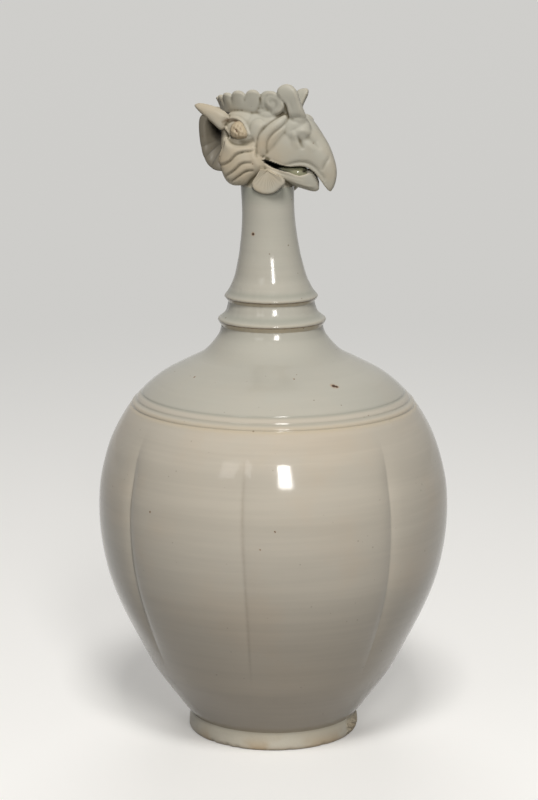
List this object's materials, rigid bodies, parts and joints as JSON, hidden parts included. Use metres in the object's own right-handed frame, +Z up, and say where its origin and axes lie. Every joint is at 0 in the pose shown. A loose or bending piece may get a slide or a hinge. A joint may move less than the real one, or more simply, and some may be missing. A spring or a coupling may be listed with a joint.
{
  "type": "phoenix-headed ewer",
  "caption": "Tall glazed stoneware ewer with a lobed ovoid body, collared neck and a modelled phoenix head that pours through its beak.",
  "frame": {"origin": "middle of the foot ring rest face", "axes": "+Z up, +X the way the beak faces, the right side of the bird is -Y"},
  "size_m": [0.2095, 0.2095, 0.3916],
  "materials": {
    "glaze": "glossy pale grey-green glaze over buff stoneware",
    "bare_clay": "unglazed buff clay with toasted patches",
    "eye_glaze": "thin buff-brown glaze",
    "pooled_glaze": "thick green pooled glaze"
  },
  "bodies": {
    "root": {"cere_left": "glaze", "cere_right": "glaze", "cheek_feather_1_left": "glaze", "cheek_feather_1_right": "glaze", "cheek_feather_2_left": "glaze", "cheek_feather_2_right": "glaze", "cheek_feather_3_left": "glaze", "cheek_feather_3_right": "glaze", "crown": "glaze", "ear_left": "glaze", "ear_right": "glaze", "eye_left": "eye_glaze", "eye_right": "eye_glaze", "eyelid_left": "glaze", "eyelid_right": "glaze", "foot_ring": "bare_clay", "horn_left": "glaze", "horn_right": "glaze", "lower_beak": "glaze", "lower_body": "glaze", "lower_collar": "glaze", "nape_fan_left": "glaze", "nape_fan_right": "glaze", "neck": "glaze", "neck_base": "glaze", "shoulder": "glaze", "skull": "glaze", "tongue": "pooled_glaze", "upper_beak": "glaze", "upper_body": "glaze", "upper_collar": "glaze", "volute_left": "glaze", "volute_right": "glaze", "wattle_left": "glaze", "wattle_right": "glaze"}
  },
  "joints": []
}
